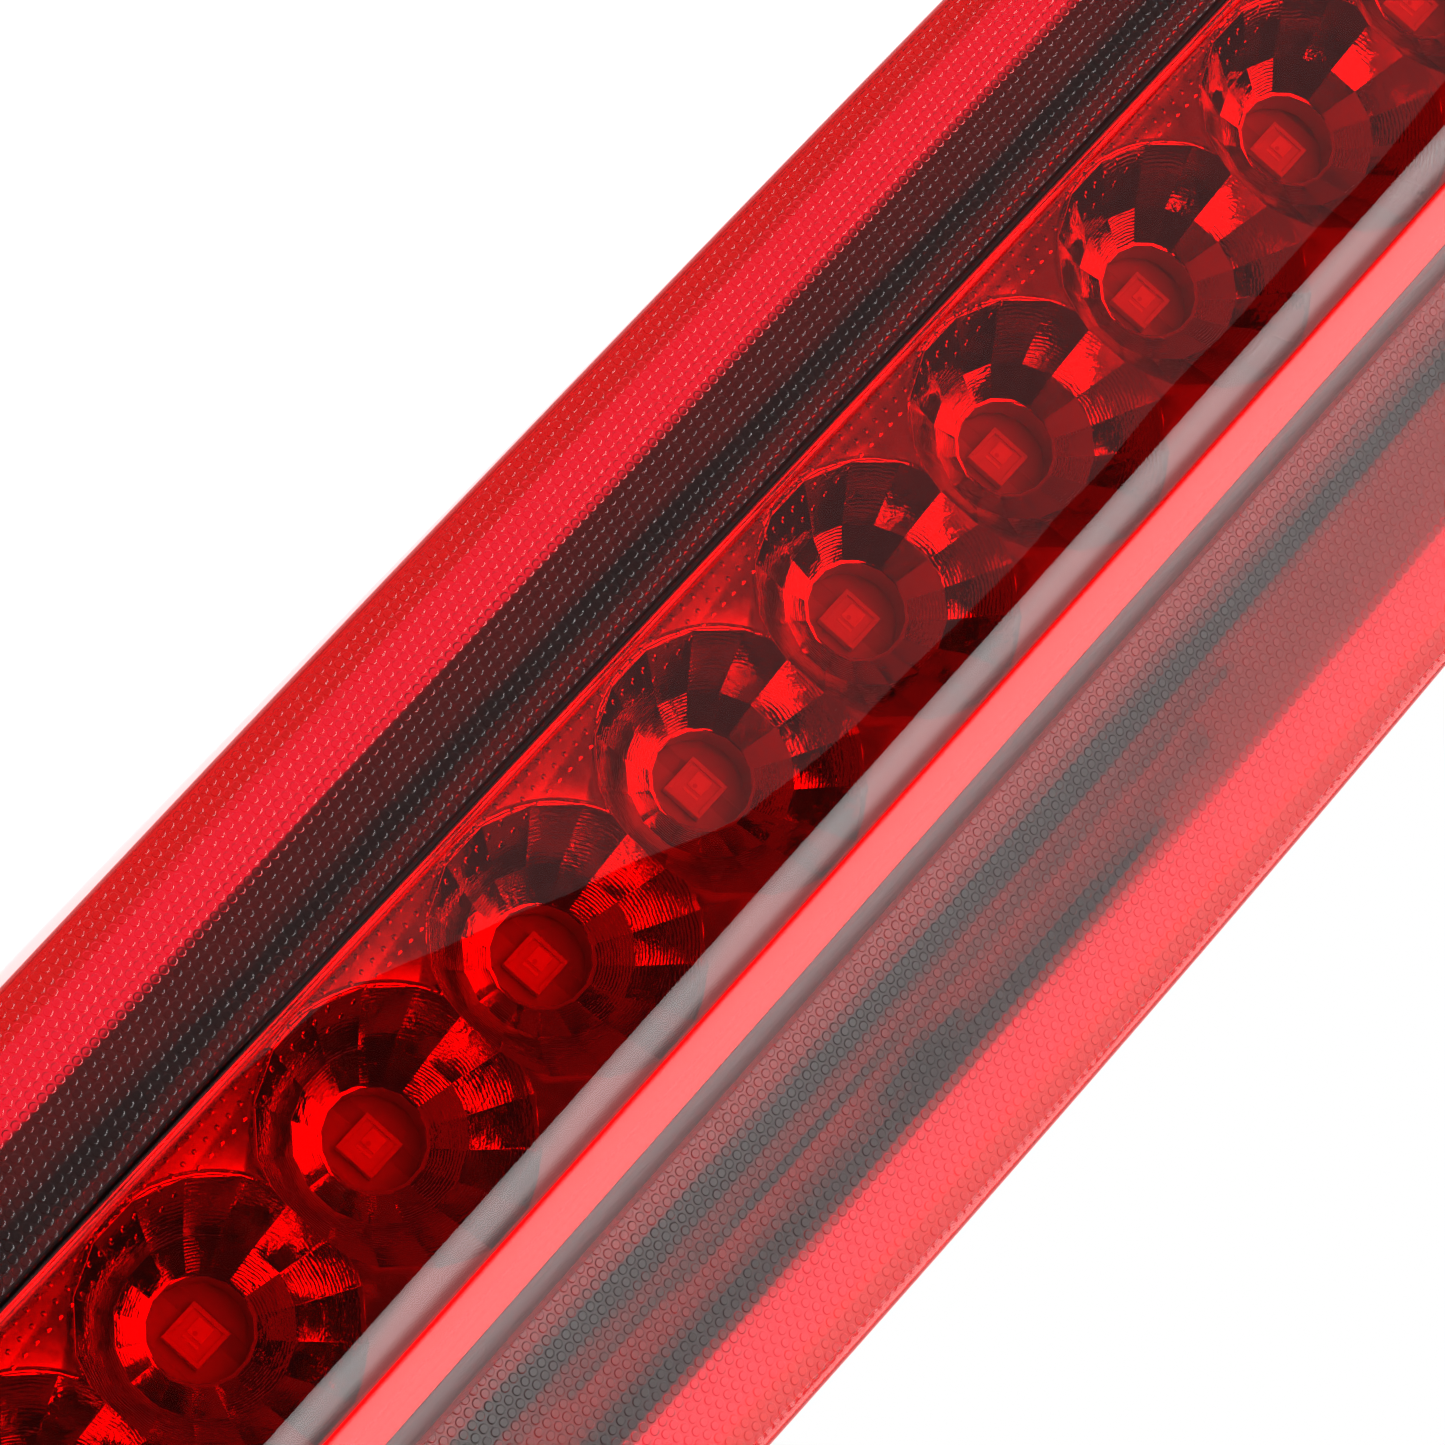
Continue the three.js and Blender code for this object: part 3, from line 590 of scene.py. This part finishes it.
def led_die():
    shade = Shade("led_die")
    tone = shade.blend(shade.noise(5000.0), rgb(0.95, 0.90, 0.72), rgb(0.98, 0.95, 0.85))
    normal = shade.bump(shade.noise(12000.0, 1.0), 0.003)
    return shade.surface(shade.principled(Base_Color=tone, Roughness=0.2, Coat_Weight=0.6, Normal=normal))


def metal(name, colour, roughness=0.3, stretch=(1.0, 1.0, 1.0), grain=3000.0):
    shade = Shade(name)
    streaks = shade.noise(grain, 3.0, stretch)
    tone = shade.blend(streaks, rgb(*[c * 0.85 for c in colour]), rgb(*colour))
    rough = shade.range(streaks, 0.3, 0.7, roughness - 0.08, roughness + 0.1)
    normal = shade.bump(streaks, 0.004)
    return shade.surface(shade.principled(Base_Color=tone, Metallic=1.0, Roughness=rough, Normal=normal))


def foam():
    shade = Shade("closed_cell_foam")
    cells = shade.node("TexVoronoi", Vector=shade.place(), Scale=1300.0).outputs["Distance"]
    tone = shade.blend(cells, rgb(0.018, 0.018, 0.019), rgb(0.05, 0.05, 0.052))
    return shade.surface(shade.principled(Base_Color=tone, Roughness=0.95, Normal=shade.bump(cells, 0.15)))


# ---------------------------------------------------------------- small parts
def add_box(bm, low, high, bevel=0.0):
    """Adds a box between two corners in millimetres, with its edges rounded."""
    centre = [(a + b) / 2 * MM for a, b in zip(low, high)]
    size = [(b - a) * MM for a, b in zip(low, high)]
    made = bmesh.ops.create_cube(bm, size=1.0, matrix=Matrix.LocRotScale(centre, None, size))
    if bevel:
        edges = list({edge for v in made["verts"] for edge in v.link_edges})
        bmesh.ops.bevel(bm, geom=edges, offset=bevel * MM, segments=2, affect="EDGES", profile=0.5)


def add_disc(bm, x, z, radius, y_front, y_back):
    """Adds a short round boss whose axis is Y."""
    centre = Matrix.Translation((x * MM, (y_front + y_back) / 2 * MM, z * MM))
    upright = Matrix.Rotation(math.pi / 2, 4, "X")
    bmesh.ops.create_cone(bm, cap_ends=True, segments=24, radius1=radius * MM, radius2=radius * MM,
                          depth=(y_back - y_front) * MM, matrix=centre @ upright)


def led_mesh(name, low, high):
    """A square surface-mount LED: frame, sunk floor, square die, round dot and contact bar."""
    frame_width, frame_depth, sink = 0.3, 0.18, 0.02
    frame_rounding, chip_rounding = 0.04, 0.03
    die_half, bar_half = 0.56, 0.57
    x = (low[0] + high[0]) / 2
    z = (low[2] + high[2]) / 2
    half = (high[0] - low[0]) / 2
    inner = half - frame_width
    front_y, floor_y = low[1], low[1] + frame_depth
    die_x, bar_x = x - 0.38, x + 0.48
    bm = bmesh.new()
    add_box(bm, (x - half, floor_y, z - half), (x + half, high[1], z + half), frame_rounding)
    for near, far in ((-half, -inner), (inner, half)):
        add_box(bm, (x + near, front_y, z - half), (x + far, floor_y + sink, z + half), frame_rounding)
        add_box(bm, (x - inner, front_y, z + near), (x + inner, floor_y + sink, z + far), frame_rounding)
    frame_faces = len(bm.faces)
    for chip_x, half_x, half_z, rise in ((die_x, die_half, die_half, 0.1), (bar_x, 0.1, bar_half, 0.06)):
        add_box(bm, (chip_x - half_x, floor_y - rise, z - half_z),
                (chip_x + half_x, floor_y + sink, z + half_z), chip_rounding)
    bm.faces.ensure_lookup_table()
    for face in bm.faces[frame_faces:]:
        face.material_index = 1
    add_disc(bm, die_x + 0.33, z - 0.11, 0.15, floor_y - 0.13, floor_y)
    mesh = bpy.data.meshes.new(name)
    bm.to_mesh(mesh)
    bm.free()
    return mesh


def build_leds(package, die):
    for index in range(LED_COUNT):
        node = f"led_{index + 1:02d}"
        low, high = (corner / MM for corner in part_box(node))
        piece = add_object(f"smd_{index + 1:02d}", led_mesh(node, low, high), smooth=False)
        dress(piece, package, node)
        piece.data.materials.append(die)


def thread_mesh(name, y_start, y_end, x):
    """A rolled thread round Y: rows of points whose radius follows the helix, running out at both ends."""
    steps = 36
    rows = int((y_end - y_start) / (STUD_PITCH / 8))
    vertices = []
    for j in range(rows + 1):
        y = y_start + (y_end - y_start) * j / rows
        fade = max(min((y_end - y) / STUD_PITCH, 1.0, (y - y_start) / STUD_PITCH + 0.2), 0.0)
        for k in range(steps):
            phase = (y / STUD_PITCH - k / steps) % 1.0
            crest = min(abs(phase - 0.5) * 3.2, 1.0)
            r = STUD_RADIUS - THREAD_DEPTH * (1 - crest * fade)
            turn = 2 * math.pi * k / steps
            vertices.append((x + r * math.cos(turn), y, r * math.sin(turn)))
    return mesh_from(name, vertices, tube_faces(rows, steps))


def build_studs(material):
    for side in ("left", "right"):
        stud, nut = "stud_" + side, "nut_" + side
        low, high = (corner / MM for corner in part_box(stud))
        thread = thread_mesh(stud, STUD_HEAD_Y, high.y, (low.x + high.x) / 2)
        dress(add_object("threaded_" + stud, thread), material, stud)
        dress(softened(nut, 0.2), material, nut, nut)


# ---------------------------------------------------------------- stage
def stage_plane(name, corners, material, hidden_from=("camera",)):
    """Adds a flat piece of the studio, which the given kinds of ray don't see."""
    mesh = bpy.data.meshes.new(name)
    mesh.from_pydata([[c * MM for c in corner] for corner in corners], [], [tuple(range(len(corners)))])
    mesh.materials.append(material)
    plane = add_object(name, mesh, smooth=False)
    for ray in hidden_from:
        setattr(plane, "visible_" + ray, False)


def pale_floor():
    shade = Shade("pale_floor")
    return shade.surface(shade.principled(Base_Color=rgb(0.9, 0.9, 0.9), Roughness=0.9,
                                          Emission_Color=rgb(1, 1, 1), Emission_Strength=0.8))


def glow(name, strength):
    shade = Shade(name)
    return shade.surface(shade.node("Emission", Color=rgb(1, 1, 1), Strength=strength))


def softbox_glow():
    """Light whose strength follows SOFTBOX_LEVELS, by the angle at which the lamp sees it."""
    shade = Shade("softbox")
    place = shade.node("NewGeometry").outputs["Position"]
    _, y, z = shade.node("SeparateXYZ", Vector=place).outputs
    angle = shade.math("ARCTAN2", z, shade.math("MULTIPLY", y, -1.0))
    strength = SOFTBOX_LEVELS[0][1]
    for (start, _), (end, level) in zip(SOFTBOX_LEVELS, SOFTBOX_LEVELS[1:]):
        share = shade.range(angle, math.radians(start), math.radians(end))
        strength = shade.node("Mix", {"data_type": "FLOAT"}, i0=share, i2=strength, i3=level).outputs[0]
    return shade.surface(shade.node("Emission", Color=rgb(1, 1, 1), Strength=strength))


def build_stage():
    half, floor_z = FLOOR_HALF, cad_box[0].z / MM
    stage_plane("floor", [(-half, -half, floor_z), (half, -half, floor_z), (half, half, floor_z),
                          (-half, half, floor_z)], pale_floor(), ("glossy", "transmission"))
    light = softbox_glow()
    left, right = SOFTBOX_X
    foot = (SOFTBOX_FOOT_Y, -SOFTBOX_FOOT_Y * math.tan(math.radians(SOFTBOX_LEVELS[0][0])))
    planes = ((foot, SOFTBOX_BEND), (SOFTBOX_BEND, SOFTBOX_TOP))
    for index, (low, high) in enumerate(planes):
        corners = [(left, *low), (right, *low), (right, *high), (left, *high)]
        stage_plane(f"softbox_{index + 1}", corners, light)
    stage_plane("side_card", [(1500, -700, -190), (1500, -60, -190), (1500, -60, 190), (1500, -700, 190)],
                glow("side_card", SIDE_CARD_GLOW))
    outline = [(x, LOW_CARD_Y, z) for x, z in LOW_CARD_OUTLINE]
    stage_plane("low_card", outline, glow("low_card", LOW_CARD_GLOW))


def build_world():
    """White for the camera and behind the lamp, darker in front of it, with a dim floor glow below."""
    sky = Shade("studio", "World")
    _, y, z = sky.node("SeparateXYZ", Vector=sky.node("TexCoord").outputs["Generated"]).outputs
    in_front = sky.range(z, -0.16, -0.09, FLOOR_GLOW, FRONT_GLOW)
    level = sky.range(y, -0.05, 0.05, in_front, 1.0)
    seen = sky.node("LightPath").outputs["Is Camera Ray"]
    white = sky.node("Background", Color=rgb(1, 1, 1), Strength=sky.math("MAXIMUM", level, seen))
    bpy.context.scene.world = sky.surface(white)


def build_camera():
    azimuth, elevation, roll = (math.radians(a) for a in (CAMERA_AZIMUTH, CAMERA_ELEVATION, CAMERA_ROLL))
    forward = Vector((-math.sin(azimuth) * math.cos(elevation), math.cos(azimuth) * math.cos(elevation),
                      -math.sin(elevation)))
    right = Vector((math.cos(azimuth), math.sin(azimuth), 0.0))
    up = right.cross(forward)
    camera_right = right * math.cos(roll) + up * math.sin(roll)
    camera_up = up * math.cos(roll) - right * math.sin(roll)
    data = bpy.data.cameras.new("camera")
    data.sensor_width = 36.0
    data.lens = CAMERA_LENS
    data.clip_start = 0.01
    camera = bpy.data.objects.new("camera", data)
    bpy.context.scene.collection.objects.link(camera)
    rotation = Matrix((camera_right, camera_up, -forward)).transposed()
    place = (Vector(CAMERA_TARGET) - forward * CAMERA_DISTANCE) * MM
    camera.matrix_world = Matrix.Translation(place) @ rotation.to_4x4()
    bpy.context.scene.camera = camera


# ---------------------------------------------------------------- assembly
build_camera()
build_world()
build_stage()
bpy.context.scene.view_settings.view_transform = "Standard"

black_plastic = moulded_plastic("black_plastic", (0.016, 0.015, 0.015))
housing_plastic = moulded_plastic("housing_plastic", (0.03, 0.028, 0.028), roughness=0.4)
component_plastic = moulded_plastic("component_plastic", (0.03, 0.03, 0.032), roughness=0.4)
silicone = moulded_plastic("silicone", (0.42, 0.12, 0.05), roughness=0.45, grain=1500.0, depth=0.02)
zinc = metal("zinc_plate", (0.66, 0.67, 0.69), roughness=0.3)
tin = metal("tin_plate", (0.74, 0.72, 0.68), roughness=0.28, stretch=(1.0, 0.1, 1.0))

dress(add_object("clear_lens", lens_mesh()), red_acrylic(), "lens")
dress(softened("reflector", 0.18, angle=12.0, segments=3), metallised(), "reflector")
dress(softened("housing", 0.25), housing_plastic, "housing")
nodes["circuit_board"].data.materials[0] = board_mask()
build_leds(led_package(), led_die())
build_sealant(sealant())
build_studs(zinc)

SOFTENED = (  # edge rounding, material, CAD nodes
    (0.2, black_plastic, ("connector_socket",)),
    (0.2, silicone, ("connector_seal",)),
    (0.35, foam(), ("rear_gasket",)),
    (0.15, silicone, ("vent_plug",)),
    (0.12, tin, ("terminal_left", "terminal_right", "capacitor")),
    (0.12, component_plastic, ("resistor_1", "resistor_2", "resistor_3", "resistor_4", "protection_diode",
                               "regulator")),
    (0.15, zinc, ("reflector_screw_1", "reflector_screw_2", "reflector_screw_3", "reflector_screw_4")),
)
for width, material, names in SOFTENED:
    for name in names:
        dress(softened(name, width), material, name)
